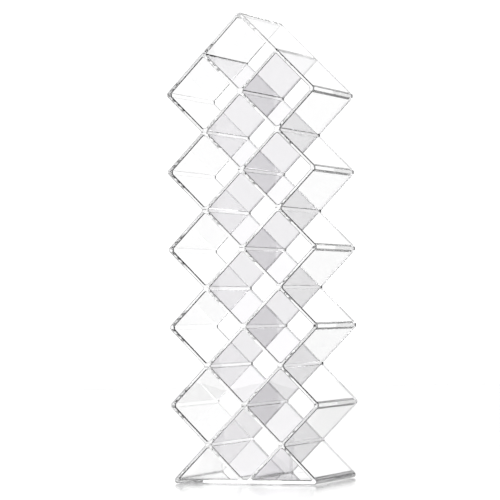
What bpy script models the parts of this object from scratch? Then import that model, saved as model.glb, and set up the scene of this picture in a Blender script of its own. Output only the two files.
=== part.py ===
"""Diamond-lattice lipstick organizer in clear acrylic, in metres, +Z up, front face towards -Y.

The tower is a lattice of flat strips on a base plate. Rising strips climb to the right, falling strips
drop to the right. Where two strips cross they are half-lapped: the rising strip is whole in the front
half of the depth and the falling strip is whole in the rear half. The whole strip carries a short
stub towards each neighbour, with a small chamfer in every corner, and the neighbour's end butts against
the stub across one glue line. The origin is the centre of the base plate's underside.
"""

import math
from collections import namedtuple

import bmesh
import bpy
from mathutils import Vector

# Driving dimensions, in metres, and the two counts of cells.
CELL_INSIDE = 0.0257
WALL = 0.0018
DEPTH = 0.057
CELLS_ACROSS = 2
TIERS = 6
CELL_CHAMFER = 0.0009
ELBOW_CHAMFER = 0.0012
OUTER_CHAMFER = 0.0012
JOINT_LAND = 0.0004
GLUE_GAP = 0.0003
BASE_THICKNESS = 0.0024
BASE_COVE = 0.00024
VALLEY_COVE = 0.0009
BASE_NOSE_ROUND = 0.0016
QUARTER_TURN_FACETS = 6

# Nodes stand in columns 0 to LAST_COLUMN and rows 0 to LAST_ROW, counted from the top left. The highest
# node is in row 0 of the middle column, and row LAST_ROW is level with the base plate's underside.
MIDDLE_COLUMN = CELLS_ACROSS
LAST_COLUMN = 2 * CELLS_ACROSS
LAST_ROW = 2 * TIERS + CELLS_ACROSS - 2
STRIPS_EACH_WAY = (LAST_ROW + CELLS_ACROSS) // 2

SLOPE = math.radians(45)
PITCH = CELL_INSIDE + WALL
NODE_STEP = PITCH * math.cos(SLOPE)
HALF_WALL = WALL / 2
HALF_DEPTH = DEPTH / 2
CUTTER_OVERRUN = WALL
WELD_DISTANCE = 1e-6
FACET_ANGLE = math.radians(90) / QUARTER_TURN_FACETS

# A glue line lies this far from the node that its stub grows from, measured along the strip.
JOINT_REACH = HALF_WALL + max(CELL_CHAMFER, ELBOW_CHAMFER) + JOINT_LAND
STUB_TIP = JOINT_REACH - GLUE_GAP / 2
STRIP_START = JOINT_REACH + GLUE_GAP / 2

# On the base plate the sides of a stub meet the plate's top, and its underside level, at this sideways
# distance from the stub's centre line.
WALL_ACROSS = HALF_WALL / math.sin(SLOPE)
BASE_REACH = (
    BASE_THICKNESS / math.sin(SLOPE) + HALF_WALL + BASE_COVE / math.tan(SLOPE / 2) + JOINT_LAND
)
BASE_STUB_TIP = BASE_REACH - GLUE_GAP / 2
BASE_STRIP_START = BASE_REACH + GLUE_GAP / 2

ACRYLIC_COLOUR = (0.93, 0.95, 0.97, 1.0)
ACRYLIC_ROUGHNESS = 0.03
ACRYLIC_IOR = 1.49

# A corner of an outline. It is sharp, rounded by an arc of its radius, or cut flat where its chamfer says
# how far the cut runs along each side.
Corner = namedtuple("Corner", ["x", "y", "radius", "chamfer"], defaults=[0, 0])


def clear_scene():
    """Remove whatever the open file holds."""
    for old in list(bpy.data.objects):
        bpy.data.objects.remove(old, do_unlink=True)


def new_collection(name, hidden=False):
    """A collection linked to the scene; a hidden one is for cutters."""
    made = bpy.data.collections.new(name)
    made.hide_render = hidden
    bpy.context.scene.collection.children.link(made)
    return made


def clear_acrylic(name):
    """Polished clear acrylic for one piece."""
    made = bpy.data.materials.new(name)
    made.use_nodes = True
    shader = made.node_tree.nodes["Principled BSDF"]
    shader.inputs["Base Color"].default_value = ACRYLIC_COLOUR
    shader.inputs["Roughness"].default_value = ACRYLIC_ROUGHNESS
    shader.inputs["Metallic"].default_value = 0.0
    shader.inputs["IOR"].default_value = ACRYLIC_IOR
    shader.inputs["Transmission Weight"].default_value = 1.0
    return made


def eased(corners):
    """The outline through the corners, each one left sharp, rounded or chamfered as it asks."""
    outline = []
    count = len(corners)
    for index, corner in enumerate(corners):
        place = Vector((corner.x, corner.y))
        towards_before = (Vector(corners[index - 1][:2]) - place).normalized()
        towards_after = (Vector(corners[(index + 1) % count][:2]) - place).normalized()
        if corner.chamfer > 0:
            outline += [place + towards_before * corner.chamfer, place + towards_after * corner.chamfer]
        elif corner.radius > 0:
            outline += arc(place, towards_before, towards_after, corner.radius)
        else:
            outline.append(place)
    return outline


def arc(corner, towards_before, towards_after, radius):
    """Points of the arc that rounds a corner, from the side before it to the side after it."""
    half_angle = towards_before.angle(towards_after) / 2
    run = radius / math.tan(half_angle)
    middle = (towards_before + towards_after).normalized()
    centre = corner + middle * (radius / math.sin(half_angle))
    start = corner + towards_before * run - centre
    end = corner + towards_after * run - centre
    sweep = math.pi - 2 * half_angle
    facets = max(1, round(sweep / FACET_ANGLE))
    points = []
    for step in range(facets + 1):
        turned = sweep * step / facets
        from_start = math.sin(sweep - turned) / math.sin(sweep)
        from_end = math.sin(turned) / math.sin(sweep)
        points.append(centre + start * from_start + end * from_end)
    return points


def extruded(name, outline, location, rotation, collection):
    """A piece of the full depth from its flat outline, as a closed mesh."""
    curve = bpy.data.curves.new(name, "CURVE")
    curve.dimensions = "2D"
    curve.fill_mode = "BOTH"
    curve.extrude = HALF_DEPTH
    spline = curve.splines.new("POLY")
    spline.points.add(len(outline) - 1)
    for point, place in zip(spline.points, outline):
        point.co = (place.x, place.y, 0, 1)
    spline.use_cyclic_u = True
    drawn = bpy.data.objects.new(name + "_outline", curve)
    drawn.location = location
    drawn.rotation_euler = rotation
    collection.objects.link(drawn)

    bpy.context.view_layer.update()
    graph = bpy.context.evaluated_depsgraph_get()
    mesh = bpy.data.meshes.new_from_object(drawn.evaluated_get(graph))
    mesh.name = name
    shell = bmesh.new()
    shell.from_mesh(mesh)
    bmesh.ops.remove_doubles(shell, verts=shell.verts, dist=WELD_DISTANCE)
    # A curve's caps hold slivers along straight runs, so each cap is filled again as one face.
    caps = [face for face in shell.faces if abs(face.calc_center_median().z) > HALF_DEPTH / 2]
    bmesh.ops.delete(shell, geom=caps, context="FACES")
    bmesh.ops.edgeloop_fill(shell, edges=[edge for edge in shell.edges if edge.is_boundary])
    bmesh.ops.recalc_face_normals(shell, faces=shell.faces)
    shell.to_mesh(mesh)
    shell.free()
    mesh.materials.clear()
    mesh.materials.append(clear_acrylic(name))

    piece = bpy.data.objects.new(name, mesh)
    piece.matrix_world = drawn.matrix_world
    collection.objects.link(piece)
    bpy.data.objects.remove(drawn, do_unlink=True)
    return piece


def cross_stub(along, side):
    """Corners of the stub at a node on one side of a strip, from left to right."""
    return [
        Corner(along - HALF_WALL, side * HALF_WALL, chamfer=CELL_CHAMFER),
        Corner(along - HALF_WALL, side * STUB_TIP),
        Corner(along + HALF_WALL, side * STUB_TIP),
        Corner(along + HALF_WALL, side * HALF_WALL, chamfer=CELL_CHAMFER),
    ]


def end_corners(kind, along, inward):
    """Corners of a strip's end, from its upper side round to its lower side.

    along is the end node's place and inward is +1 at the left end and -1 at the right end. An elbow
    turns the corner and ends in a stub on the lower side. A plain end butts against a neighbour's stub
    and a base end against a stub of the base plate.
    """
    if kind == "elbow":
        return [
            Corner(along - inward * HALF_WALL, HALF_WALL, chamfer=OUTER_CHAMFER),
            Corner(along - inward * HALF_WALL, -STUB_TIP),
            Corner(along + inward * HALF_WALL, -STUB_TIP),
            Corner(along + inward * HALF_WALL, -HALF_WALL, chamfer=ELBOW_CHAMFER),
        ]
    start = BASE_STRIP_START if kind == "base" else STRIP_START
    return [
        Corner(along + inward * start, HALF_WALL),
        Corner(along + inward * start, -HALF_WALL),
    ]


def strip_outline(cells, left, right, tees, crossings):
    """The outline of a strip, with its first node at the origin and its length along X."""
    upper = []
    for node in crossings:
        upper += cross_stub(node * PITCH, 1)
    lower = []
    for node in sorted(tees + crossings):
        lower += cross_stub(node * PITCH, -1)
    left_end = end_corners(left, 0, 1)
    right_end = end_corners(right, cells * PITCH, -1)
    return eased(upper + right_end + lower[::-1] + left_end[::-1])


def cut_half_laps(strip, crossings, front, collection):
    """Notch a strip at its crossings, through the front or the rear half of its depth.

    The strip's own Z points to the front.
    """
    notch_depth = HALF_DEPTH + GLUE_GAP / 2 + CUTTER_OVERRUN
    from_middle = notch_depth / 2 - GLUE_GAP / 2
    bpy.ops.mesh.primitive_cube_add(size=1)
    cutter = bpy.context.object
    cutter.name = strip.name + "_half_lap"
    for vertex in cutter.data.vertices:
        vertex.co.x *= 2 * STRIP_START
        vertex.co.y *= 2 * (JOINT_REACH + CUTTER_OVERRUN)
        vertex.co.z *= notch_depth
    for holder in list(cutter.users_collection):
        holder.objects.unlink(cutter)
    collection.objects.link(cutter)
    cutter.parent = strip
    cutter.location = (crossings[0] * PITCH, 0, from_middle if front else -from_middle)
    cutter.hide_render = True
    cutter.display_type = "WIRE"
    repeat = cutter.modifiers.new("one_per_crossing", "ARRAY")
    repeat.count = len(crossings)
    repeat.use_relative_offset = False
    repeat.use_constant_offset = True
    repeat.constant_offset_displace = (PITCH, 0, 0)
    cut = strip.modifiers.new("half_laps", "BOOLEAN")
    cut.operation = "DIFFERENCE"
    cut.solver = "EXACT"
    cut.object = cutter


def make_strip(name, nodes, rising, parts, cutters):
    """One strip through its lattice nodes, listed from left to right as (column, row)."""
    first_column, first_row = nodes[0]
    ends_on_base = nodes[-1][1] == LAST_ROW
    if rising:
        left = "base" if first_row == LAST_ROW else "elbow"
        right = "plain"
    else:
        left = "elbow" if first_row == 0 else "plain"
        right = "base" if ends_on_base else "elbow"
    tees = []
    crossings = []
    for place, (column, row) in list(enumerate(nodes))[1:-1]:
        on_roof = row == abs(column - MIDDLE_COLUMN)
        (tees if on_roof else crossings).append(place)

    outline = strip_outline(len(nodes) - 1, left, right, tees, crossings)
    location = ((first_column - MIDDLE_COLUMN) * NODE_STEP, 0, (LAST_ROW - first_row) * NODE_STEP)
    rotation = (math.radians(90), -SLOPE if rising else SLOPE, 0)
    strip = extruded(name, outline, location, rotation, parts)
    if crossings:
        cut_half_laps(strip, crossings, front=not rising, collection=cutters)


def make_rising_strips(parts, cutters):
    """Strips that climb to the right, counted from the top."""
    for number in range(STRIPS_EACH_WAY):
        total = MIDDLE_COLUMN + 2 * number
        first = max(0, total - LAST_ROW)
        last = min(LAST_COLUMN, (total + MIDDLE_COLUMN) // 2)
        nodes = [(column, total - column) for column in range(first, last + 1)]
        make_strip(f"rising_strip_{number + 1}", nodes, True, parts, cutters)


def make_falling_strips(parts, cutters):
    """Strips that drop to the right, counted from the top."""
    for number in range(STRIPS_EACH_WAY):
        lead = 2 * number - MIDDLE_COLUMN
        first = max(0, (MIDDLE_COLUMN - lead) // 2)
        last = min(LAST_COLUMN, LAST_ROW - lead)
        nodes = [(column, column + lead) for column in range(first, last + 1)]
        make_strip(f"falling_strip_{number + 1}", nodes, False, parts, cutters)


def rising_stub(foot, outer_corner, inner_corner):
    """Corners of a base stub that leans right from its foot, between the corners at its two roots."""
    tip = []
    for across in (HALF_WALL, -HALF_WALL):
        x = foot + (BASE_STUB_TIP - across) * math.cos(SLOPE)
        z = (BASE_STUB_TIP + across) * math.sin(SLOPE)
        tip.append(Corner(x, z))
    return [outer_corner, *tip, inner_corner]


def mirrored(corners, middle):
    """The same corners reflected across the upright line x = middle, in reverse order."""
    return [corner._replace(x=2 * middle - corner.x) for corner in reversed(corners)]


def make_base_plate(parts):
    """The plate that the tower stands on, with the stubs that the lowest strips butt against."""
    half_width = MIDDLE_COLUMN * NODE_STEP
    root = BASE_THICKNESS + WALL_ACROSS
    nose = Corner(-half_width - WALL_ACROSS, 0, BASE_NOSE_ROUND)
    corner_stub = rising_stub(-half_width, nose, Corner(root - half_width, BASE_THICKNESS, BASE_COVE))
    outline = list(corner_stub)
    for column in range(2, LAST_COLUMN, 2):
        foot = (column - MIDDLE_COLUMN) * NODE_STEP
        floor = BASE_THICKNESS - WALL_ACROSS
        if floor > 0:
            cove = min(VALLEY_COVE, 0.9 * floor / math.tan(SLOPE / 2))
            valley = Corner(foot + floor, BASE_THICKNESS, cove)
        else:
            valley = Corner(foot, WALL_ACROSS, VALLEY_COVE)
        stub = rising_stub(foot, valley, Corner(foot + root, BASE_THICKNESS, BASE_COVE))
        other = mirrored(stub, foot)
        outline += other + (stub if floor > 0 else stub[1:])
    outline += mirrored(corner_stub, 0)
    extruded("base_plate", eased(outline), (0, 0, 0), (math.radians(90), 0, 0), parts)


def main():
    """Build the organizer."""
    clear_scene()
    parts = new_collection("lipstick_organizer")
    cutters = new_collection("cutters", hidden=True)
    make_base_plate(parts)
    make_rising_strips(parts, cutters)
    make_falling_strips(parts, cutters)


main()
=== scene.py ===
"""A clear acrylic lipstick organizer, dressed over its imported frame, in metres.

The tower is a diamond lattice of slats on a base plate. Every slat and the plate is drawn as a flat
outline, raised to the full depth, given polished edges and half-lapped where it crosses another. Where
two pieces meet, their faces carry a solvent weld, which light passes almost unbent.
"""

import logging
import math
from collections.abc import Callable
from dataclasses import dataclass, field
from enum import Enum

import bmesh
import bpy
from mathutils import Matrix, Vector


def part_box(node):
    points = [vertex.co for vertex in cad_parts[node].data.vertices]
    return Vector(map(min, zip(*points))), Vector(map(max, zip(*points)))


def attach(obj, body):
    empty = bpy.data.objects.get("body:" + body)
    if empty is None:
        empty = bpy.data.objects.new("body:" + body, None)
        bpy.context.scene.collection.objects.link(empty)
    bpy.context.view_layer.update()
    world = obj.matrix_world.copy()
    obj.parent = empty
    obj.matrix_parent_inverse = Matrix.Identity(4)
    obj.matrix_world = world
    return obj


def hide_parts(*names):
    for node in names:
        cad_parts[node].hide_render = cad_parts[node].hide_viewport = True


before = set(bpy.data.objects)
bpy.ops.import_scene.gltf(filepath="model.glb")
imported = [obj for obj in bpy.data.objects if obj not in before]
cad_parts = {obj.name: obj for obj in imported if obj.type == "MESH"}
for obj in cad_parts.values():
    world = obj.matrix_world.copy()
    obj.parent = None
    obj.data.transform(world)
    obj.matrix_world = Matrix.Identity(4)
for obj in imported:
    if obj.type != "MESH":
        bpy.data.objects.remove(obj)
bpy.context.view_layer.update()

log = logging.getLogger("organizer")

ROOT_BODY = "root"
ACRYLIC_IOR = 1.49

# How near two places are that count as one, loosely and strictly.
NEAR = 1e-5
SAME = 1e-6
# The cosine past which a face is square to an axis, and the bend below which two faces are one.
SQUARE = 0.99
FLAT = math.radians(0.5)
QUARTER_TURN = math.radians(90)

MeshPart = bmesh.types.BMVert | bmesh.types.BMEdge | bmesh.types.BMFace
MeshFace = bmesh.types.BMFace | bpy.types.MeshPolygon
Triple = tuple[float, float, float]
Stops = tuple[tuple[float, float], ...]


def face_centre(face: MeshFace) -> Vector:
    """The middle of a face, in edit mode or out of it."""
    return face.calc_center_median() if isinstance(face, bmesh.types.BMFace) else face.center


class Lean(Enum):
    """Which way a slat runs, seen from the front, from its left end."""

    RISING = -1
    FALLING = 1


class End(Enum):
    """How a slat ends: round a corner, against a neighbour's stub, or against a stub of the base."""

    ELBOW = "elbow"
    PLAIN = "plain"
    BASE = "base"


class Skin(Enum):
    """The kinds of surface on a piece, by their material slot."""

    SHEET = 0
    EDGE = 1
    WELD = 2


@dataclass(frozen=True)
class LatticeSizes:
    """The driving sizes of the organizer, in metres, and its counts of cells."""

    cell_inside: float = 0.0257
    wall: float = 0.0018
    depth: float = 0.057
    cells_across: int = 2
    tiers: int = 6
    cell_chamfer: float = 0.0009
    tee_chamfer: float = 0.00045
    elbow_chamfer: float = 0.0012
    outer_chamfer: float = 0.0012
    joint_land: float = 0.0004
    base_thickness: float = 0.0024
    base_cove: float = 0.00024
    valley_cove: float = 0.0009
    valley_share: float = 0.9
    nose_round: float = 0.0016
    nose_profile: float = 0.41
    slope: float = math.radians(45)
    seam: float = 0.00002
    front_arris: float = 0.0007
    rear_arris: float = 0.00008
    front_steps: int = 5
    rear_steps: int = 2
    arc_steps: int = 8
    smooth_below: float = math.radians(32)

    @property
    def pitch(self) -> float:
        """From one node to the next along a slat."""
        return self.cell_inside + self.wall

    @property
    def step(self) -> float:
        """From one column, or one row, of nodes to the next."""
        return self.pitch * math.cos(self.slope)

    @property
    def last_column(self) -> int:
        """The column of nodes at the right."""
        return 2 * self.cells_across

    @property
    def last_row(self) -> int:
        """The row of nodes level with the underside."""
        return 2 * self.tiers + self.cells_across - 2

    @property
    def slats_each_way(self) -> int:
        """How many slats rise, and how many fall."""
        return (self.last_row + self.cells_across) // 2

    @property
    def half_wall(self) -> float:
        """Half the thickness of a slat."""
        return self.wall / 2

    @property
    def half_depth(self) -> float:
        """Half the depth of the tower."""
        return self.depth / 2

    @property
    def weld_reach(self) -> float:
        """From a node to the weld at its stub's tip."""
        return self.half_wall + max(self.cell_chamfer, self.elbow_chamfer) + self.joint_land

    @property
    def wall_across(self) -> float:
        """Half the width of a slat's section where a level line crosses it."""
        return self.half_wall / math.sin(self.slope)

    @property
    def base_reach(self) -> float:
        """From a foot on the underside to the weld at its stub's tip, along the stub."""
        cove = self.base_cove / math.tan(self.slope / 2)
        return self.base_thickness / math.sin(self.slope) + self.half_wall + cove + self.joint_land

    def place(self, column: int, row: int) -> Vector:
        """Where a node is.

        Args:
            column: The node's column, from the left.
            row: The node's row, from the top.

        Returns:
            The node's place in the middle of the depth.
        """
        x = (column - self.cells_across) * self.step
        return Vector((x, 0, (self.last_row - row) * self.step))


class Signal:
    """The output of a shader node, with the arithmetic that joins it to others."""

    def __init__(self, wiring: "Wiring", socket: bpy.types.NodeSocket) -> None:
        """Keep the socket and the graph that it is in.

        Args:
            wiring: The graph.
            socket: The output socket.
        """
        self.wiring = wiring
        self.socket = socket

    def join(self, operation: str, first: "Signal | float", second: "Signal | float") -> "Signal":
        """Add a Math node.

        Args:
            operation: The node's operation.
            first: The upper value.
            second: The lower value.

        Returns:
            The node's result.
        """
        return self.wiring.add("ShaderNodeMath", {"operation": operation}, {0: first, 1: second})

    def __add__(self, other: "Signal | float") -> "Signal":
        """self + other."""
        return self.join("ADD", self, other)

    def __radd__(self, other: float) -> "Signal":
        """other + self."""
        return self.join("ADD", other, self)

    def __sub__(self, other: "Signal | float") -> "Signal":
        """self - other."""
        return self.join("SUBTRACT", self, other)

    def __rsub__(self, other: float) -> "Signal":
        """other - self."""
        return self.join("SUBTRACT", other, self)

    def __mul__(self, other: "Signal | float") -> "Signal":
        """self * other."""
        return self.join("MULTIPLY", self, other)

    def __rmul__(self, other: float) -> "Signal":
        """other * self."""
        return self.join("MULTIPLY", other, self)

    def __abs__(self) -> "Signal":
        """abs(self)."""
        return self.join("ABSOLUTE", self, 0.0)


class Wiring:
    """A shader graph that is being wired."""

    def __init__(self, tree: bpy.types.NodeTree) -> None:
        """Empty the graph.

        Args:
            tree: The node tree of a material or a world.
        """
        self.tree = tree
        tree.nodes.clear()

    def add(self, kind: str, settings: dict, inputs: dict, output: int | str = 0) -> Signal:
        """Add one node.

        Args:
            kind: The node's type.
            settings: Its settings, which are set first. "stops" are the stops of a ramp.
            inputs: Values or signals for its sockets, by name or number.
            output: The socket that is wanted.

        Returns:
            That socket's signal.
        """
        node = self.tree.nodes.new(kind)
        for name, value in settings.items():
            if name == "stops":
                self.set_stops(node.color_ramp, value)
            else:
                setattr(node, name, value)
        for name, value in inputs.items():
            if isinstance(value, Signal):
                self.tree.links.new(value.socket, node.inputs[name])
            else:
                node.inputs[name].default_value = value
        return Signal(self, node.outputs[output] if node.outputs else None)

    @staticmethod
    def set_stops(ramp: bpy.types.ColorRamp, stops: Stops) -> None:
        """Put grey stops on a ramp.

        Args:
            ramp: The ramp, which has two stops.
            stops: The place and brightness of each stop.
        """
        while len(ramp.elements) < len(stops):
            ramp.elements.new(1.0)
        for element, (place, shade) in zip(ramp.elements, stops):
            element.position = place
            element.color = (shade, shade, shade, 1)

    def spots(self, where: Signal, scale: float, detail: float) -> Signal:
        """Noise from 0 to 1.

        Args:
            where: The coordinates it reads.
            scale: How many waves it has in a metre.
            detail: How many finer octaves lie on it.

        Returns:
            The noise.
        """
        return self.add("ShaderNodeTexNoise", {}, {"Vector": where, "Scale": scale, "Detail": detail})

    def object_space(self) -> Signal:
        """The place on the piece, in metres."""
        return self.add("ShaderNodeTexCoord", {}, {}, "Object")

    def ramp(self, value: Signal, stops: Stops) -> Signal:
        """A grey ramp.

        Args:
            value: What it reads.
            stops: The place and brightness of each stop.

        Returns:
            The brightness.
        """
        return self.add("ShaderNodeValToRGB", {"stops": stops}, {"Fac": value})

    def along(self, where: Signal, axis: str) -> Signal:
        """One of three coordinates.

        Args:
            where: The coordinates.
            axis: X, Y or Z.

        Returns:
            The coordinate.
        """
        return self.add("ShaderNodeSeparateXYZ", {}, {0: where}, axis)

    def fall(self, value: Signal, reach: float, fade: float) -> Signal:
        """1 for small values and 0 for large ones, with a smooth step between.

        Args:
            value: What it reads.
            reach: The middle of the step.
            fade: Half the width of the step.

        Returns:
            The share.
        """
        inputs = {"Value": value, 1: reach - fade, 2: reach + fade, 3: 1.0, 4: 0.0}
        return self.add("ShaderNodeMapRange", {"interpolation_type": "SMOOTHSTEP"}, inputs)

    def blend(self, factor: Signal, low: Signal | tuple, high: Signal | tuple) -> Signal:
        """A colour between two.

        Args:
            factor: 0 for the first colour and 1 for the second.
            low: The first colour.
            high: The second colour.

        Returns:
            The colour.
        """
        inputs = {"Factor": factor}
        for socket, colour in ((6, low), (7, high)):
            inputs[socket] = colour if isinstance(colour, Signal) else (*colour, 1)
        return self.add("ShaderNodeMix", {"data_type": "RGBA"}, inputs, 2)

    def bump(self, height: Signal) -> Signal:
        """The normals of a surface that is uneven by a height in metres."""
        return self.add("ShaderNodeBump", {}, {"Height": height, "Strength": 1.0, "Distance": 1.0})

    def surface(self, inputs: dict) -> Signal:
        """A Principled surface with these values and signals."""
        return self.add("ShaderNodeBsdfPrincipled", {}, inputs)

    def acrylic(self, colour: Signal, roughness: Signal, normal: Signal) -> Signal:
        """The surface of clear acrylic."""
        looks = {"Base Color": colour, "Roughness": roughness, "Normal": normal}
        return self.surface(looks | {"IOR": ACRYLIC_IOR, "Transmission Weight": 1.0})


class Finish:
    """A material, which each kind of finish wires in its own way."""

    name: str

    def wire(self, wiring: Wiring) -> Signal:
        """Wire the shader.

        Args:
            wiring: The material's empty graph.

        Returns:
            The shader.
        """
        raise NotImplementedError

    def material(self) -> bpy.types.Material:
        """Make the material.

        Returns:
            The material.
        """
        made = bpy.data.materials.new(self.name)
        made.use_nodes = True
        wiring = Wiring(made.node_tree)
        wiring.add("ShaderNodeOutputMaterial", {}, {"Surface": self.wire(wiring)})
        return made


@dataclass(frozen=True)
class AcrylicFinish(Finish):
    """Clear acrylic, made by casting, with a very slight waviness, fine haze and a few hairline scratches.

    Below the roof, the walls within one step of the middle are painted a faint cool grey, a painted
    shade between the walls. Their rear rim is painted darker still as shade, and so, more faintly, is
    the rim of the walls further to the right.
    """

    sizes: LatticeSizes
    name: str = "clear_acrylic_sheet"
    # The grey of the inner walls and the darker greys of the rear rims below are painted shade.
    painted_inner_shade: Triple = (0.875, 0.865, 0.885)
    clear: Triple = (1.0, 1.0, 1.0)
    dusty: Triple = (0.985, 0.987, 0.992)
    painted_rim_shade: Triple = (0.4, 0.395, 0.41)
    painted_outer_rim_shade: Triple = (0.66, 0.655, 0.67)
    rim_width: float = 0.0022
    fade: float = 0.0004
    haze: float = 0.02
    smudge_scale: float = 38
    smudge_stops: Stops = ((0.45, 0), (0.75, 1))
    wave: float = 0.00003
    wave_scale: float = 21
    scratch: float = 0.0000015
    scratch_scale: Triple = (900, 30, 900)
    scratch_turn: Triple = (0, 0.6, 0)
    scratch_stops: Stops = ((0.68, 0), (0.72, 1))

    def wire(self, wiring: Wiring) -> Signal:
        """Wire the shader.

        Args:
            wiring: The material's empty graph.

        Returns:
            The shader.
        """
        where = wiring.object_space()
        smudge = wiring.ramp(wiring.spots(where, self.smudge_scale, 4), self.smudge_stops)
        inputs = {"Vector": where, "Scale": self.scratch_scale, "Rotation": self.scratch_turn}
        streaks = wiring.spots(wiring.add("ShaderNodeMapping", {}, inputs), 1, 3)
        hairline = wiring.ramp(streaks, self.scratch_stops)
        bump = wiring.bump(wiring.spots(where, self.wave_scale, 1) * self.wave - hairline * self.scratch)
        step = self.sizes.step
        below_roof = wiring.fall(wiring.along(where, "Z"), (self.sizes.last_row - 1) * step, self.fade)
        inside = wiring.fall(abs(wiring.along(where, "X")), step, self.fade) * below_roof
        right_of_left_cells = 1.0 - wiring.fall(wiring.along(where, "X"), -step, self.fade)
        rim = 1.0 - wiring.fall(wiring.along(where, "Y"), self.sizes.half_depth - self.rim_width, self.fade)
        # Painted shade: the inner walls are greyed, and their rear rims, and more faintly those of the walls
        # to the right, are darker.
        glass = wiring.blend(inside, wiring.blend(smudge, self.clear, self.dusty), self.painted_inner_shade)
        painted_rim_shade = wiring.blend(inside, self.painted_outer_rim_shade, self.painted_rim_shade)
        colour = wiring.blend(rim * right_of_left_cells * below_roof, glass, painted_rim_shade)
        return wiring.acrylic(colour, smudge * self.haze, bump)


@dataclass(frozen=True)
class EdgeFinish(Finish):
    """A polished cut edge, which keeps a little of the saw's fine ripple.

    Beyond one step from the middle, its flanks are painted dark as shade, drawing the tower's outline.
    """

    sizes: LatticeSizes
    name: str = "polished_cut_edge"
    clear: Triple = (1.0, 1.0, 1.0)
    dusty: Triple = (0.97, 0.975, 0.985)
    # This dark grey on the flanks is painted shade.
    painted_flank_shade: Triple = (0.11, 0.11, 0.115)
    flank_from: float = 0.00006
    fade: float = 0.00003
    haze: float = 0.03
    patch_scale: float = 160
    patch_stops: Stops = ((0.4, 0), (0.7, 1))
    ripple: float = 0.0000004
    ripple_scale: float = 700

    def wire(self, wiring: Wiring) -> Signal:
        """Wire the shader.

        Args:
            wiring: The material's empty graph.

        Returns:
            The shader.
        """
        where = wiring.object_space()
        fine = wiring.spots(where, self.ripple_scale, 2)
        patches = wiring.ramp(wiring.spots(where, self.patch_scale, 3), self.patch_stops)
        bump = wiring.bump(fine * self.ripple)
        # Painted shade: the flanks of the edges outside the middle are darkened.
        outside = 1.0 - wiring.fall(abs(wiring.along(where, "X")), self.sizes.step, self.fade)
        depth = abs(wiring.along(where, "Y"))
        painted_flank_shade = outside * wiring.fall(depth, self.sizes.half_depth - self.flank_from, self.fade)
        glass = wiring.blend(patches, self.clear, self.dusty)
        return wiring.acrylic(wiring.blend(painted_flank_shade, glass, self.painted_flank_shade), patches * self.haze, bump)


@dataclass(frozen=True)
class WeldFinish(Finish):
    """A solvent weld between two pieces: almost unseen, with specks of trapped air."""

    name: str = "solvent_weld"
    colour: Triple = (0.93, 0.94, 0.95)
    film: float = 0.006
    speck: float = 0.22
    speck_scale: float = 1500
    speck_stops: Stops = ((0.76, 0), (0.8, 1))
    roughness: float = 0.6

    def wire(self, wiring: Wiring) -> Signal:
        """Wire the shader.

        Args:
            wiring: The material's empty graph.

        Returns:
            The shader.
        """
        specks = wiring.ramp(wiring.spots(wiring.object_space(), self.speck_scale, 0), self.speck_stops)
        alpha = specks * self.speck + self.film
        return wiring.surface({"Base Color": (*self.colour, 1), "Roughness": self.roughness, "Alpha": alpha})


@dataclass
class Finishes:
    """The materials of a piece, in the order of Skin."""

    sheet: AcrylicFinish
    edge: EdgeFinish
    weld: WeldFinish = WeldFinish()
    made: list[bpy.types.Material] = field(default_factory=list)

    def materials(self) -> list[bpy.types.Material]:
        """The materials, wired once.

        Returns:
            Sheet, edge and weld.
        """
        if not self.made:
            self.made = [finish.material() for finish in (self.sheet, self.edge, self.weld)]
        return self.made


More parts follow.
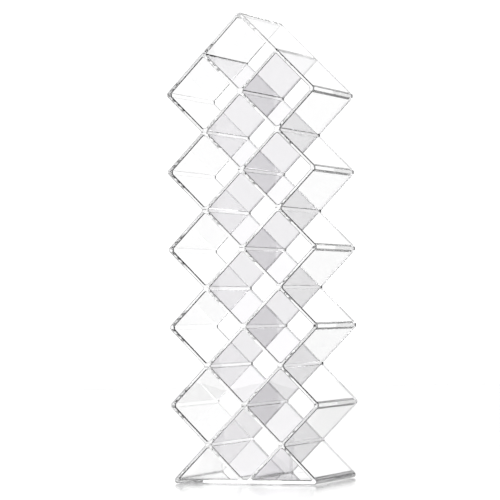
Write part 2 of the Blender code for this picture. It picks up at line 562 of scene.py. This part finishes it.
class Bench:
    """One flat outline that becomes a solid piece, shaped in edit mode.

    The outline lies in X and Y, and Z is the depth, towards the front.
    """

    def __init__(self, name: str, low: Vector, high: Vector) -> None:
        """Lay down the first flat blank.

        Args:
            name: The piece's name.
            low: The blank's lower left corner.
            high: The blank's upper right corner.
        """
        bpy.ops.object.select_all(action="DESELECT")
        middle = (low + high) / 2
        bpy.ops.mesh.primitive_plane_add(size=1, location=(middle.x, middle.y, 0))
        self.piece = bpy.context.object
        self.piece.name = name
        self.piece.data.name = name
        self.piece.scale = (high.x - low.x, high.y - low.y, 1)
        bpy.ops.object.transform_apply(location=True, rotation=True, scale=True)
        bpy.ops.object.mode_set(mode="EDIT")

    def pick(self, kind: str, wanted: Callable[[MeshPart], bool]) -> int:
        """Select the parts of the mesh that a test names, and nothing else.

        Args:
            kind: VERT, EDGE or FACE.
            wanted: The test of one part.

        Returns:
            How many were selected.
        """
        bpy.ops.mesh.select_all(action="DESELECT")
        bpy.ops.mesh.select_mode(type=kind)
        shape = bmesh.from_edit_mesh(self.piece.data)
        parts = {"VERT": shape.verts, "EDGE": shape.edges, "FACE": shape.faces}[kind]
        chosen = [part for part in parts if wanted(part)]
        for part in chosen:
            part.select_set(True)
        shape.select_flush_mode()
        bmesh.update_edit_mesh(self.piece.data)
        return len(chosen)

    def score(self, line: float) -> None:
        """Cut the whole outline across its length, at a place along X."""
        bpy.ops.mesh.select_all(action="SELECT")
        bpy.ops.mesh.bisect(plane_co=(line, 0, 0), plane_no=(1, 0, 0))

    def trim(self, point: Vector, outward: Vector) -> None:
        """Cut off what the selected faces have beyond a line.

        Args:
            point: A point of the line.
            outward: The line's normal, towards what goes.
        """
        bpy.ops.mesh.bisect(plane_co=point, plane_no=outward, clear_outer=True)

    def grow(self, low: Vector, high: Vector, move: Vector) -> None:
        """Extrude the edge of the outline that runs between two points.

        Args:
            low: One end of the edge.
            high: Its other end.
            move: How far it goes.
        """
        length = (high - low).length

        def between(edge: bmesh.types.BMEdge) -> bool:
            """Whether the edge is on the outline and lies on the stretch."""
            detours = [(vert.co - low).length + (vert.co - high).length for vert in edge.verts]
            return edge.is_boundary and max(detours) < length + SAME

        if not self.pick("EDGE", between):
            raise ValueError(f"{self.piece.name}: no edge from {low} to {high}")
        bpy.ops.mesh.extrude_region_move(TRANSFORM_OT_translate={"value": move})

    def merge(self) -> None:
        """Make the outline one face."""
        bpy.ops.mesh.select_mode(type="FACE")
        bpy.ops.mesh.select_all(action="SELECT")
        bpy.ops.mesh.remove_doubles(threshold=SAME)
        bpy.ops.mesh.dissolve_limited(angle_limit=FLAT)

    def ease(self, corners: list[Vector], run: float, steps: int, profile: float = 0.5) -> None:
        """Round or chamfer corners of the flat outline.

        Args:
            corners: Where they are, if there are any.
            run: How far the arc or chamfer runs along each side.
            steps: How many facets the arc has. One makes a chamfer.
            profile: How full the arc is.
        """
        if not corners:
            return

        def is_corner(vert: bmesh.types.BMVert) -> bool:
            """Whether the point is one of the corners."""
            return any((vert.co - corner).length < NEAR for corner in corners)

        found = self.pick("VERT", is_corner)
        if found != len(corners):
            raise ValueError(f"{self.piece.name}: {found} corners of {len(corners)}")
        bpy.ops.mesh.bevel(
            offset_type="ABSOLUTE", offset=run, segments=steps, profile=profile, affect="VERTICES"
        )

    def raise_to(self, depth: float) -> None:
        """Extrude the flat outline into a solid, centred on its middle plane.

        Args:
            depth: The solid's depth.
        """
        bpy.ops.mesh.select_mode(type="FACE")
        bpy.ops.mesh.select_all(action="SELECT")
        bpy.ops.transform.translate(value=(0, 0, -depth / 2))
        bpy.ops.mesh.extrude_region_move(TRANSFORM_OT_translate={"value": (0, 0, depth)})
        bpy.ops.mesh.select_all(action="SELECT")
        bpy.ops.mesh.normals_make_consistent(inside=False)

    def polish(self, side: int, width: float, steps: int, welded: Callable[[MeshFace], bool]) -> None:
        """Take the sharp arris off the front or the rear edges, except where the piece is welded.

        Args:
            side: 1 for the front and -1 for the rear.
            width: The arris's width.
            steps: How many facets it has.
            welded: Tells whether a face is a weld.
        """

        def on_rim(edge: bmesh.types.BMEdge) -> bool:
            """Tell whether the edge borders a cap and a wall that isn't welded.

            Args:
                edge: An edge of the solid.

            Returns:
                Whether it is polished.
            """
            caps = [face for face in edge.link_faces if face.normal.z * side > SQUARE]
            walls = [face for face in edge.link_faces if abs(face.normal.z) < 1 - SQUARE]
            return len(caps) == 1 and len(walls) == 1 and not welded(walls[0])

        self.pick("EDGE", on_rim)
        bpy.ops.mesh.bevel(offset_type="OFFSET", offset=width, segments=steps, profile=0.5, affect="EDGES")
        bpy.ops.mesh.select_all(action="SELECT")
        bpy.ops.mesh.normals_make_consistent(inside=False)

    def done(self) -> bpy.types.Object:
        """Leave edit mode.

        Returns:
            The piece.
        """
        bpy.ops.object.mode_set(mode="OBJECT")
        return self.piece


@dataclass
class Piece:
    """One piece of the organizer, which stands for one node of the frame."""

    node: str
    sizes: LatticeSizes
    finishes: Finishes

    def solid(self, bench: Bench, welded: Callable[[MeshFace], bool]) -> bpy.types.Object:
        """Raise an outline to the full depth and polish its front and rear edges.

        Args:
            bench: The bench that the outline lies on.
            welded: Tells whether a face is a weld.

        Returns:
            The mesh object.
        """
        bench.raise_to(self.sizes.depth)
        bench.polish(1, self.sizes.front_arris, self.sizes.front_steps, welded)
        bench.polish(-1, self.sizes.rear_arris, self.sizes.rear_steps, welded)
        return bench.done()

    def dress(self, shape: bpy.types.Object) -> None:
        """Name a placed shape, let it throw no shadow, hide its node and tie it to the frame.

        Args:
            shape: The finished mesh object.
        """
        shape.name = f"{self.node}_acrylic"
        # Clear acrylic lets nearly all light through to the table, which a traced shadow would block.
        shape.visible_shadow = False
        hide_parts(self.node)
        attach(shape, ROOT_BODY)
        low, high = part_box(self.node)
        axes = list(zip(*(vert.co for vert in shape.data.vertices)))
        mine_low, mine_high = Vector(map(min, axes)), Vector(map(max, axes))
        off = max((mine_low - low).length, (mine_high - high).length) * 1000
        log.info("%s: %d faces, %.2f mm from its node's box", self.node, len(shape.data.polygons), off)

    def skin(self, shape: bpy.types.Object, welded: Callable[[MeshFace], bool]) -> None:
        """Give each face its material, smooth the rounds and keep the flats flat.

        Args:
            shape: The mesh object, before it is placed.
            welded: Tells whether a face is a weld.
        """
        shape.data.materials.clear()
        for material in self.finishes.materials():
            shape.data.materials.append(material)
        front_from = self.sizes.half_depth - self.sizes.front_arris - NEAR
        rear_from = self.sizes.half_depth - self.sizes.rear_arris - NEAR
        for face in shape.data.polygons:
            kind = Skin.SHEET
            if welded(face):
                kind = Skin.WELD
            elif face.center.z > front_from or -face.center.z > rear_from:
                kind = Skin.EDGE
            face.material_index = kind.value
        self.take_up(shape)
        bpy.ops.object.shade_smooth_by_angle(angle=self.sizes.smooth_below, keep_sharp_edges=False)
        even = shape.modifiers.new("flat_walls", "WEIGHTED_NORMAL")
        even.mode = "FACE_AREA"
        even.weight = 100
        even.keep_sharp = True
        bpy.ops.object.modifier_apply(modifier=even.name)

    @staticmethod
    def take_up(shape: bpy.types.Object) -> None:
        """Select one object alone and make it the active one.

        Args:
            shape: The object.
        """
        bpy.ops.object.select_all(action="DESELECT")
        shape.select_set(True)
        bpy.context.view_layer.objects.active = shape

    def settle(self, shape: bpy.types.Object, place: Vector, turn: Triple) -> None:
        """Put a shape in its place, in its mesh.

        Args:
            shape: The mesh object.
            place: Where its origin goes.
            turn: How it is turned, in radians.
        """
        self.take_up(shape)
        shape.location = place
        shape.rotation_euler = turn
        bpy.ops.object.transform_apply(location=True, rotation=True, scale=True)


@dataclass(frozen=True)
class SlatPattern:
    """What a slat is like, apart from where it stands: slats alike share one."""

    cells: int
    left: End
    right: End
    tees: tuple[int, ...]
    crossings: tuple[int, ...]
    lean: Lean

    def ends(self) -> tuple[tuple[End, int, int], ...]:
        """Each end, with its node and the way from there into the slat."""
        return (self.left, 0, 1), (self.right, self.cells, -1)


@dataclass
class Slat(Piece):
    """A slat of the lattice through a row of nodes, from left to right."""

    lean: Lean
    nodes: list[tuple[int, int]]
    patterns: dict[SlatPattern, bpy.types.Object]

    def pattern(self) -> SlatPattern:
        """Work out what meets this slat.

        Returns:
            Its pattern.
        """
        sizes = self.sizes
        first_row, last_row = self.nodes[0][1], self.nodes[-1][1]
        if self.lean is Lean.RISING:
            left = End.BASE if first_row == sizes.last_row else End.ELBOW
            right = End.PLAIN
        else:
            left = End.ELBOW if first_row == 0 else End.PLAIN
            right = End.BASE if last_row == sizes.last_row else End.ELBOW
        tees = []
        crossings = []
        for place, (column, row) in list(enumerate(self.nodes))[1:-1]:
            on_roof = row == abs(column - sizes.cells_across)
            (tees if on_roof else crossings).append(place)
        return SlatPattern(len(self.nodes) - 1, left, right, tuple(tees), tuple(crossings), self.lean)

    def setbacks(self) -> dict[End, float]:
        """How far inside its last node a slat ends.

        Returns:
            The distance for each kind of end, which is negative at an elbow.
        """
        gap = self.sizes.seam / 2
        return {
            End.ELBOW: -self.sizes.half_wall,
            End.PLAIN: self.sizes.weld_reach + gap,
            End.BASE: self.sizes.base_reach + gap,
        }

    def weld_lines(self, pattern: SlatPattern) -> list[float]:
        """Where the slat's own welds cross its length.

        Args:
            pattern: The slat's pattern.

        Returns:
            Places along the slat.
        """
        pitch = self.sizes.pitch
        setbacks = self.setbacks()
        inset = setbacks[End.PLAIN]
        lines = [node * pitch + side * inset for node in pattern.crossings for side in (-1, 1)]
        for end, node, inward in pattern.ends():
            if end is not End.ELBOW:
                lines.append(node * pitch + inward * setbacks[end])
        return lines

    def is_welded(self, pattern: SlatPattern) -> Callable[[MeshFace], bool]:
        """Make the test for welded faces.

        Args:
            pattern: The slat's pattern.

        Returns:
            The test.
        """
        tip = self.sizes.weld_reach - self.sizes.seam / 2
        lines = self.weld_lines(pattern)

        def welded(face: MeshFace) -> bool:
            """Tell whether a face meets another piece.

            Args:
                face: A face of the slat, before it is placed.

            Returns:
                Whether it is a stub's tip, an end, or a side or the floor of a half lap.
            """
            centre = face_centre(face)
            if abs(face.normal.y) > SQUARE:
                return abs(abs(centre.y) - tip) < NEAR
            if abs(face.normal.x) > SQUARE:
                return any(abs(centre.x - line) < NEAR for line in lines)
            return abs(face.normal.z) > SQUARE and abs(centre.z) < self.sizes.half_depth / 2

        return welded

    def draw(self, pattern: SlatPattern) -> Bench:
        """Draw the slat's flat outline, with its first node at the origin.

        Args:
            pattern: The slat's pattern.

        Returns:
            The bench that it lies on.
        """
        sizes = self.sizes
        half = sizes.half_wall
        tip = sizes.weld_reach - sizes.seam / 2
        setbacks = self.setbacks()
        low = Vector((setbacks[pattern.left], -half, 0))
        high = Vector((pattern.cells * sizes.pitch - setbacks[pattern.right], half, 0))
        bench = Bench(self.node, low, high)

        stubs = [(node, -1) for node in (*pattern.tees, *pattern.crossings)]
        stubs += [(node, 1) for node in pattern.crossings]
        elbows = [(node * sizes.pitch, inward) for end, node, inward in pattern.ends() if end is End.ELBOW]

        lines = sorted({node * sizes.pitch + side * half for node, _ in stubs for side in (-1, 1)})
        lines += [along + inward * half for along, inward in elbows]
        for line in lines:
            bench.score(line)
        crossed = []
        tees = []
        for node, side in stubs:
            root = [Vector((node * sizes.pitch + edge * half, side * half, 0)) for edge in (-1, 1)]
            bench.grow(root[0], root[1], Vector((0, side * (tip - half), 0)))
            (tees if node in pattern.tees else crossed).extend(root)
        inner = []
        outer = []
        for along, inward in elbows:
            root = [Vector((along + edge * half, -half, 0)) for edge in (-1, 1)]
            bench.grow(root[0], root[1], Vector((0, half - tip, 0)))
            inner.append(Vector((along + inward * half, -half, 0)))
            outer.append(Vector((along - inward * half, half, 0)))
        bench.merge()
        bench.ease(crossed, sizes.cell_chamfer, 1)
        bench.ease(tees, sizes.tee_chamfer, 1)
        bench.ease(inner, sizes.elbow_chamfer, 1)
        bench.ease(outer, sizes.outer_chamfer, 1)
        return bench

    def half_lap(self, shape: bpy.types.Object, pattern: SlatPattern) -> None:
        """Notch the slat where it crosses another: rising slats at the rear, falling ones in front.

        Args:
            shape: The slat.
            pattern: The slat's pattern.
        """
        sizes = self.sizes
        half_width = self.setbacks()[End.PLAIN]
        side = 1 if pattern.lean is Lean.FALLING else -1
        deep = sizes.half_depth + sizes.wall
        middle = side * (deep / 2 - sizes.seam / 2)
        bpy.ops.object.select_all(action="DESELECT")
        bpy.ops.mesh.primitive_cube_add(size=1, location=(0, 0, middle))
        cutter = bpy.context.object
        # Twice as wide as it is long, the cutter passes right through the slat and its stubs.
        cutter.scale = (2 * half_width, 4 * half_width, deep)
        bpy.ops.object.transform_apply(location=True, rotation=True, scale=True)
        cutter.location.x = pattern.crossings[0] * sizes.pitch
        repeat = cutter.modifiers.new("one_for_each_crossing", "ARRAY")
        repeat.count = len(pattern.crossings)
        repeat.use_relative_offset = False
        repeat.use_constant_offset = True
        repeat.constant_offset_displace = (sizes.pitch, 0, 0)
        bpy.ops.object.modifier_apply(modifier=repeat.name)

        self.take_up(shape)
        cut = shape.modifiers.new("half_laps", "BOOLEAN")
        cut.operation = "DIFFERENCE"
        cut.solver = "EXACT"
        cut.object = cutter
        bpy.ops.object.modifier_apply(modifier=cut.name)
        bpy.data.objects.remove(cutter, do_unlink=True)

    def model(self, pattern: SlatPattern) -> bpy.types.Object:
        """Make the first slat of a pattern, not yet placed.

        Args:
            pattern: The slat's pattern.

        Returns:
            The mesh object.
        """
        welded = self.is_welded(pattern)
        shape = self.solid(self.draw(pattern), welded)
        if pattern.crossings:
            self.half_lap(shape, pattern)
        self.skin(shape, welded)
        return shape

    def build(self) -> None:
        """Make the slat, or copy one that is alike, and put it in its place."""
        pattern = self.pattern()
        if pattern not in self.patterns:
            self.patterns[pattern] = self.model(pattern)
        original = self.patterns[pattern]
        shape = original.copy()
        shape.data = original.data.copy()
        shape.data.name = self.node
        bpy.context.scene.collection.objects.link(shape)
        turn = (QUARTER_TURN, pattern.lean.value * self.sizes.slope, 0)
        self.settle(shape, self.sizes.place(*self.nodes[0]), turn)
        self.dress(shape)


@dataclass
class SlatFamily:
    """All the slats that lean one way, counted from the top."""

    lean: Lean
    sizes: LatticeSizes
    finishes: Finishes

    def rows(self) -> list[list[tuple[int, int]]]:
        """The nodes of each slat, from left to right.

        Returns:
            One list of nodes a slat.
        """
        sizes = self.sizes
        found = []
        for number in range(sizes.slats_each_way):
            if self.lean is Lean.RISING:
                total = sizes.cells_across + 2 * number
                first = max(0, total - sizes.last_row)
                last = min(sizes.last_column, (total + sizes.cells_across) // 2)
                found.append([(column, total - column) for column in range(first, last + 1)])
            else:
                lead = 2 * number - sizes.cells_across
                first = max(0, (sizes.cells_across - lead) // 2)
                last = min(sizes.last_column, sizes.last_row - lead)
                found.append([(column, column + lead) for column in range(first, last + 1)])
        return found

    def build(self) -> None:
        """Make every slat of the family."""
        patterns: dict[SlatPattern, bpy.types.Object] = {}
        for number, nodes in enumerate(self.rows(), 1):
            name = f"{self.lean.name.lower()}_strip_{number}"
            Slat(name, self.sizes, self.finishes, self.lean, nodes, patterns).build()
        for original in patterns.values():
            bpy.data.objects.remove(original, do_unlink=True)


@dataclass
class BasePlate(Piece):
    """The plate that the tower stands on, with the stubs of the lowest slats."""

    def feet(self) -> list[tuple[float, int]]:
        """Where stubs grow, and which way they lean.

        Returns:
            The place of each foot, with 1 for a stub that leans right and -1 for one that leans left.
        """
        half = self.sizes.cells_across * self.sizes.step
        found = [(-half, 1), (half, -1)]
        for column in range(2, self.sizes.last_column, 2):
            foot = (column - self.sizes.cells_across) * self.sizes.step
            found += [(foot, -1), (foot, 1)]
        return found

    def outward(self, side: int) -> Vector:
        """The way that a stub leans, to the right for 1 and to the left for -1."""
        return Vector((side * math.cos(self.sizes.slope), math.sin(self.sizes.slope), 0))

    def welded(self, face: MeshFace) -> bool:
        """Tell whether a face is the tip of a stub.

        Args:
            face: A face of the plate, before it is placed.

        Returns:
            Whether it is.
        """
        tip = self.sizes.base_reach - self.sizes.seam / 2
        for foot, side in self.feet():
            outward = self.outward(side)
            reach = (face_centre(face) - Vector((foot, 0, 0))).dot(outward)
            if face.normal.dot(outward) > SQUARE and abs(reach - tip) < NEAR:
                return True
        return False

    def draw(self) -> Bench:
        """Draw the plate's flat outline.

        Returns:
            The bench that it lies on.
        """
        sizes = self.sizes
        nose = sizes.cells_across * sizes.step + sizes.wall_across
        top = sizes.base_thickness
        tip = sizes.base_reach - sizes.seam / 2
        bench = Bench(self.node, Vector((-nose, 0, 0)), Vector((nose, top, 0)))
        for side in (-1, 1):
            bpy.ops.mesh.select_all(action="SELECT")
            bench.trim(Vector((side * nose, 0, 0)), Vector((side, math.tan(sizes.slope), 0)))
        roots = {}
        for foot, side in self.feet():
            middle = foot + side * top / math.tan(sizes.slope)
            roots[(foot, side)] = (middle - sizes.wall_across, middle + sizes.wall_across)
        corner = nose - top / math.tan(sizes.slope)
        for line in sorted({line for root in roots.values() for line in root}):
            if abs(line) < corner - SAME:
                bench.score(line)
        for (foot, side), (start, stop) in roots.items():
            outward = self.outward(side)
            bench.grow(Vector((start, top, 0)), Vector((stop, top, 0)), outward * (tip + sizes.wall))
            bench.pick("FACE", lambda face: self.in_stub(face, foot, outward))
            bench.trim(Vector((foot, 0, 0)) + outward * tip, outward)
        bench.merge()
        self.round_corners(bench, roots, nose)
        return bench

    def in_stub(self, face: bmesh.types.BMFace, foot: float, outward: Vector) -> bool:
        """Tell whether a face of the outline is a stub.

        Args:
            face: The face.
            foot: The stub's foot.
            outward: The way that the stub leans.

        Returns:
            Whether it is that stub.
        """
        centre = face_centre(face)
        from_foot = centre - Vector((foot, 0, 0))
        aside = from_foot - outward * from_foot.dot(outward)
        return centre.y > self.sizes.base_thickness and aside.length < self.sizes.half_wall

    def round_corners(
        self, bench: Bench, roots: dict[tuple[float, int], tuple[float, float]], nose: float
    ) -> None:
        """Round the noses of the plate and the coves at its stubs.

        Args:
            bench: The bench that the outline lies on.
            roots: The two sides of each stub where it meets the plate's top.
            nose: How far the plate reaches to each side.
        """
        sizes = self.sizes
        turn = math.tan(sizes.slope / 2)
        top = sizes.base_thickness
        inner = []
        valleys = []
        for (foot, side), (start, stop) in roots.items():
            inner.append(Vector((stop if side > 0 else start, top, 0)))
            if abs(foot) < nose - sizes.step:
                valleys.append(Vector((start if side > 0 else stop, top, 0)))
        bench.ease(inner, sizes.base_cove / turn, sizes.arc_steps)
        floor = top - sizes.wall_across
        bench.ease(valleys, min(sizes.valley_cove * turn, sizes.valley_share * floor), sizes.arc_steps)
        # An arc in so sharp a corner needs a flatter profile to be round.
        noses = [Vector((side * nose, 0, 0)) for side in (-1, 1)]
        bench.ease(noses, sizes.nose_round / turn, 2 * sizes.arc_steps, sizes.nose_profile)

    def build(self) -> None:
        """Make the plate and put it in its place."""
        shape = self.solid(self.draw(), self.welded)
        self.skin(shape, self.welded)
        self.settle(shape, Vector(), (QUARTER_TURN, 0, 0))
        self.dress(shape)


@dataclass(frozen=True)
class FloorFinish(Finish):
    """A pale table, faintly uneven, whose gloss is fuller the flatter it is seen."""

    name: str = "pale_table"
    colour: Triple = (0.86, 0.86, 0.86)
    gloss_colour: Triple = (1.0, 1.0, 1.0)
    roughness: float = 0.17
    unevenness: float = 0.04
    patch_scale: float = 9
    gloss_stops: Stops = ((0.0, 0.04), (0.63, 0.12), (0.9, 0.82), (1.0, 0.92))

    def wire(self, wiring: Wiring) -> Signal:
        """Wire the shader.

        Args:
            wiring: The material's empty graph.

        Returns:
            The shader.
        """
        patches = wiring.spots(wiring.object_space(), self.patch_scale, 3)
        facing = wiring.add("ShaderNodeLayerWeight", {}, {"Blend": 0.5}, "Facing")
        share = wiring.ramp(facing, self.gloss_stops)
        matt = wiring.add("ShaderNodeBsdfDiffuse", {}, {"Color": (*self.colour, 1)})
        inputs = {"Color": (*self.gloss_colour, 1), "Roughness": patches * self.unevenness + self.roughness}
        gloss = wiring.add("ShaderNodeBsdfAnisotropic", {"distribution": "MULTI_GGX"}, inputs)
        return wiring.add("ShaderNodeMixShader", {}, {0: share, 1: matt, 2: gloss})


@dataclass(frozen=True)
class CardFinish(Finish):
    """Matt card with a faint grain."""

    name: str
    dark: Triple
    light: Triple
    roughness: float = 0.9
    grain_scale: float = 60

    def wire(self, wiring: Wiring) -> Signal:
        """Wire the shader.

        Args:
            wiring: The material's empty graph.

        Returns:
            The shader.
        """
        grain = wiring.spots(wiring.object_space(), self.grain_scale, 2)
        colour = wiring.blend(grain, self.dark, self.light)
        return wiring.surface({"Base Color": colour, "Roughness": self.roughness})


@dataclass(frozen=True)
class Lamp:
    """A soft oblong light that shines down on the table, unseen in the acrylic."""

    name: str
    power: float
    width: float
    breadth: float
    place: Triple
    tilt: float = 0.0

    def hang(self) -> None:
        """Hang the lamp in its place."""
        light = bpy.data.lights.new(self.name, "AREA")
        light.shape = "RECTANGLE"
        light.size = self.width
        light.size_y = self.breadth
        light.energy = self.power
        holder = bpy.data.objects.new(self.name, light)
        holder.location = self.place
        holder.rotation_euler = (self.tilt, 0, 0)
        holder.visible_glossy = False
        holder.visible_transmission = False
        holder.visible_camera = False
        bpy.context.scene.collection.objects.link(holder)


BLACK_CARD = CardFinish("black_card", (0.012, 0.012, 0.013), (0.022, 0.022, 0.023))
GREY_CARD = CardFinish("grey_card", (0.27, 0.27, 0.27), (0.31, 0.31, 0.31))

# Light trapped in the slats keeps the slant of the line of sight to the depth, and leaves at it.
REAR_RIGHT = math.radians(21.8)
FRONT_LEFT = REAR_RIGHT + math.pi


@dataclass(frozen=True)
class Card:
    """A card that only the acrylic sees, where the light trapped in the slats comes out.

    Its bearing runs clockwise from the rear, seen from above. left_edge is where it starts across
    that bearing. Only a mirrored card shows in what the slats' faces mirror.
    """

    name: str
    bearing: float
    distance: float
    left_edge: float
    width: float
    height: float = 0.3
    mirrored: bool = False
    finish: CardFinish = BLACK_CARD

    def stand(self, foot: float) -> None:
        """Stand the card on the table.

        Args:
            foot: The height of its lower edge.
        """
        away, across = self.distance, self.left_edge + self.width / 2
        sine, cosine = math.sin(self.bearing), math.cos(self.bearing)
        place = (away * sine + across * cosine, away * cosine - across * sine, foot + self.height / 2)
        turn = (QUARTER_TURN, 0, -self.bearing)
        bpy.ops.object.select_all(action="DESELECT")
        bpy.ops.mesh.primitive_plane_add(size=1, location=place, rotation=turn)
        card = bpy.context.object
        card.scale = (self.width, self.height, 1)
        card.name = self.name
        card.data.materials.append(self.finish.material())
        card.visible_camera = False
        card.visible_shadow = False
        card.visible_diffuse = False
        card.visible_glossy = self.mirrored


@dataclass(frozen=True)
class Studio:
    """The table, the pale surroundings, the soft light and the cards that draw the edges.

    The narrow card covers what the crossings of the middle and right columns mirror, and leaves the
    left column and the right elbows pale. The rear one draws the edges of those two columns, and the
    grey one, wider and behind it, those of the left column more softly. The front one is there for
    light that the rear edges send back.
    """

    floor_radius: float = 1.6
    floor_sides: int = 96
    floor_drop: float = 0.0002
    sky: Stops = ((0.0, 1.16), (0.2, 1.16), (0.37, 1.0), (0.6, 0.3), (0.8, 0.08))
    lamps: tuple[Lamp, ...] = (
        Lamp("overhead", power=26.0, width=2.6, breadth=2.6, place=(0, 0, 2.2)),
        Lamp("front_fill", 6.5, width=0.5, breadth=0.25, place=(0.08, -0.25, 0.3), tilt=math.radians(-40)),
    )
    cards: tuple[Card, ...] = (
        Card("narrow_black_card", REAR_RIGHT, 0.25, left_edge=-0.0072, width=0.0364, mirrored=True),
        Card("rear_black_card", REAR_RIGHT, 0.5, left_edge=-0.0088, width=0.34),
        Card("far_grey_card", REAR_RIGHT, 1.3, left_edge=-0.33, width=0.66, height=0.46, finish=GREY_CARD),
        Card("front_black_card", FRONT_LEFT, 1.3, left_edge=-0.33, width=0.66, height=0.46),
    )
    bounces: int = 32
    glossy_bounces: int = 16

    def floor(self) -> None:
        """Lay the table."""
        bpy.ops.object.select_all(action="DESELECT")
        place = (0, 0, -self.floor_drop)
        bpy.ops.mesh.primitive_circle_add(
            vertices=self.floor_sides, radius=self.floor_radius, fill_type="NGON", location=place
        )
        table = bpy.context.object
        table.name = "table"
        table.data.materials.append(FloorFinish().material())

    def surroundings(self) -> None:
        """Make the pale band around the horizon, which darkens towards the top.

        The stops of sky give its brightness by the sine of the height.
        """
        world = bpy.data.worlds.new("pale_studio")
        bpy.context.scene.world = world
        world.use_nodes = True
        wiring = Wiring(world.node_tree)
        height = wiring.along(wiring.add("ShaderNodeTexCoord", {}, {}, "Generated"), "Z")
        brightest = max(brightness for _, brightness in self.sky)
        band = wiring.ramp(height, tuple((place, brightness / brightest) for place, brightness in self.sky))
        glow = wiring.add("ShaderNodeBackground", {}, {"Color": band, "Strength": brightest})
        wiring.add("ShaderNodeOutputWorld", {}, {"Surface": glow})

    def build(self) -> None:
        """Set the studio up, with enough bounces for light to cross every slat."""
        self.floor()
        for card in self.cards:
            card.stand(-self.floor_drop)
        self.surroundings()
        for lamp in self.lamps:
            lamp.hang()
        scene = bpy.context.scene
        scene.view_settings.view_transform = "Standard"
        scene.cycles.max_bounces = self.bounces
        scene.cycles.transmission_bounces = self.bounces
        scene.cycles.glossy_bounces = self.glossy_bounces
        scene.cycles.transparent_max_bounces = self.bounces


@dataclass(frozen=True)
class Viewpoint:
    """The camera, at the photograph's angle."""

    place: Triple = (0.47433, -1.20265, 0.08654)
    yaw: float = math.radians(21.81)
    pitch: float = math.radians(1.322)
    roll: float = math.radians(-0.8085)
    lens: float = 184.16
    sensor: float = 36.0

    def build(self) -> None:
        """Put the camera in the scene."""
        camera = bpy.data.cameras.new("viewpoint")
        camera.lens = self.lens
        camera.sensor_width = self.sensor
        holder = bpy.data.objects.new("viewpoint", camera)
        level = Matrix.Rotation(self.yaw, 4, "Z") @ Matrix.Rotation(QUARTER_TURN + self.pitch, 4, "X")
        holder.matrix_world = Matrix.Translation(self.place) @ level @ Matrix.Rotation(self.roll, 4, "Z")
        bpy.context.scene.collection.objects.link(holder)
        bpy.context.scene.camera = holder


def main() -> None:
    """Build the studio and every piece, in order."""
    logging.basicConfig(level=logging.INFO, format="%(name)s %(message)s")
    sizes = LatticeSizes()
    finishes = Finishes(AcrylicFinish(sizes), EdgeFinish(sizes))
    Viewpoint().build()
    Studio().build()
    BasePlate("base_plate", sizes, finishes).build()
    SlatFamily(Lean.RISING, sizes, finishes).build()
    SlatFamily(Lean.FALLING, sizes, finishes).build()


if __name__ == "__main__":
    main()
